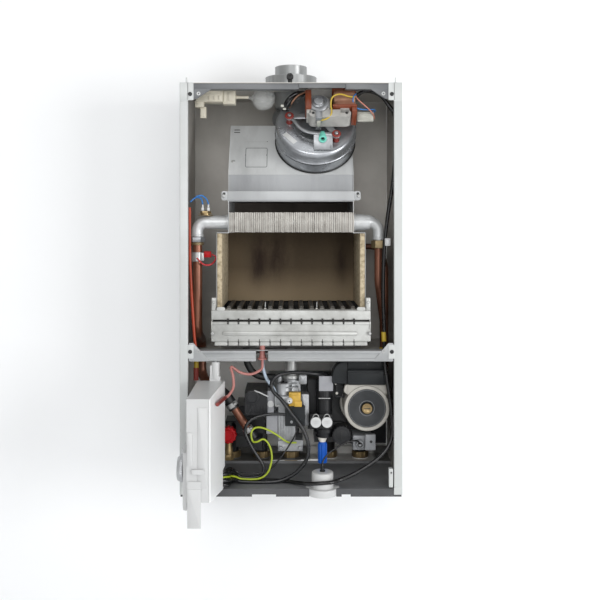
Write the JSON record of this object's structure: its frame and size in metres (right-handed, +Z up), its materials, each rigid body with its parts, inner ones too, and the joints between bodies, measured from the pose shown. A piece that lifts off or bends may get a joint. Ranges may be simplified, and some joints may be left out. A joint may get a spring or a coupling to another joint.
{
  "type": "wall-hung gas boiler",
  "caption": "Wall-hung gas boiler with its front cover off, showing fan, heat exchanger, burner, pump, hydraulics, cables and a control box swung open.",
  "frame": {"origin": "middle of the bottom edge of the wall face", "axes": "X to the right as seen from the front, Y into the wall, Z up"},
  "size_m": [0.4, 0.4015, 0.808],
  "materials": {
    "white_enamel": "gloss",
    "grey_sheet": "satin",
    "galvanised_steel": "satin",
    "tray_enamel": "gloss",
    "black_steel": "satin",
    "flue_grey": "gloss",
    "cream_plastic": "satin",
    "clear_dome": "clear",
    "black_rubber": "matte",
    "cast_aluminium": "cast",
    "lamination_steel": "satin",
    "coil_wrap": "satin",
    "fin_metal": "satin",
    "tinned_copper": "satin",
    "brass": "satin",
    "copper": "satin",
    "fibre_board": "matte",
    "burner_steel": "satin",
    "white_ceramic": "gloss",
    "red_enamel": "gloss",
    "black_plastic": "satin",
    "valve_aluminium": "cast",
    "coil_plastic": "satin",
    "plate_steel": "satin",
    "pump_can": "satin",
    "red_plastic": "gloss",
    "blue_plastic": "gloss",
    "white_plastic": "gloss",
    "silver_plastic": "satin",
    "board_green": "satin",
    "grey_cable": "matte",
    "black_cable": "matte",
    "red_silicone": "satin",
    "clear_tube": "gloss",
    "green_wire": "satin",
    "orange_tube": "satin"
  },
  "bodies": {
    "cabinet": {"side_panel_left": "white_enamel", "side_panel_right": "white_enamel", "back_panel": "grey_sheet", "top_panel": "grey_sheet", "bottom_tray": "tray_enamel", "top_bar": "galvanised_steel", "cross_bar": "galvanised_steel", "partition_floor": "grey_sheet", "screws": "black_steel", "flue_adapter": "flue_grey", "pressure_switch": "cream_plastic", "switch_dome": "clear_dome", "rubber_parts": "black_rubber", "flue_hood": "galvanised_steel", "fan_housing": "cast_aluminium", "fan_stator": "lamination_steel", "fan_coil": "coil_wrap", "fan_brackets": "galvanised_steel", "exchanger_fins": "fin_metal", "exchanger_tubes": "tinned_copper", "manifold_left": "tinned_copper", "manifold_right": "tinned_copper", "brass_fittings": "brass", "flow_pipe": "copper", "right_pipes": "copper", "pipe_sensors": "brass", "chamber_casing": "galvanised_steel", "chamber_boards": "fibre_board", "burner_blades": "burner_steel", "burner_front": "galvanised_steel", "electrodes": "white_ceramic", "expansion_vessel": "red_enamel", "hydraulic_plate": "galvanised_steel", "gas_pipe": "galvanised_steel", "gas_valve": "valve_aluminium", "gas_valve_coil": "coil_plastic", "flow_group": "black_plastic", "return_group": "black_plastic", "plate_exchanger": "plate_steel", "pump_motor": "pump_can", "terminal_box": "black_plastic", "gauge": "white_plastic", "ignition_lead": "red_silicone", "thin_tubes": "clear_tube", "grey_cables": "grey_cable", "earth_wire": "green_wire", "fan_cable": "black_cable", "sensor_wires": "orange_tube"},
    "control_box": {"control_box": "white_plastic", "control_box_cover": "white_plastic", "circuit_board": "board_green"},
    "heating_knob": {"heating_knob": "silver_plastic"},
    "hot_water_knob": {"hot_water_knob": "silver_plastic"},
    "reset_button": {"reset_button": "red_plastic"},
    "fan_rotor": {"fan_rotor": "galvanised_steel"},
    "pump_rotor": {"pump_rotor": "lamination_steel"},
    "bleed_screw": {"bleed_screw": "brass"},
    "relief_knob": {"relief_knob": "red_plastic"},
    "filling_handle": {"filling_handle": "blue_plastic"},
    "gauge_needle": {"gauge_needle": "red_plastic"}
  },
  "joints": [
    {"name": "control_box_hinge", "type": "hinge", "parent": "cabinet", "child": "control_box", "pos_m": [-0.136, -0.234, 0.12], "axis": [0, 0, 1], "range_deg": [0, 90], "deforming": ["ignition_lead", "grey_cables", "earth_wire", "fan_cable"]},
    {"name": "heating_knob_turn", "type": "hinge", "parent": "control_box", "child": "heating_knob", "pos_m": [-0.178, -0.349, 0.079], "axis": [1, 0, 0], "range_deg": [-135, 135]},
    {"name": "hot_water_knob_turn", "type": "hinge", "parent": "control_box", "child": "hot_water_knob", "pos_m": [-0.178, -0.294, 0.079], "axis": [1, 0, 0], "range_deg": [-135, 135]},
    {"name": "reset_press", "type": "slide", "parent": "control_box", "child": "reset_button", "axis": [1, 0, 0], "range_m": [0, 0.002], "stiffness_N_per_m": 400},
    {"name": "fan_spin", "type": "hinge", "parent": "cabinet", "child": "fan_rotor", "pos_m": [0.05, -0.14303, 0.64664], "axis": [0, -0.829, 0.5592], "continuous": true},
    {"name": "pump_spin", "type": "hinge", "parent": "cabinet", "child": "pump_rotor", "pos_m": [0.14, -0.16, 0.146], "axis": [0, 1, 0], "continuous": true},
    {"name": "bleed_screw_turn", "type": "hinge", "parent": "cabinet", "child": "bleed_screw", "pos_m": [0.14, -0.2, 0.146], "axis": [0, 1, 0], "range_deg": [0, 360]},
    {"name": "relief_knob_turn", "type": "hinge", "parent": "cabinet", "child": "relief_knob", "pos_m": [-0.117, -0.18, 0.093], "axis": [0, 1, 0], "range_deg": [0, 90]},
    {"name": "filling_turn", "type": "hinge", "parent": "cabinet", "child": "filling_handle", "pos_m": [0.059, -0.172, 0.058], "axis": [0, 0, 1], "range_deg": [0, 180]},
    {"name": "gauge_needle_turn", "type": "hinge", "parent": "cabinet", "child": "gauge_needle", "pos_m": [0.057, -0.226, 0.002], "axis": [0, 0, 1], "range_deg": [0, 270]}
  ]
}
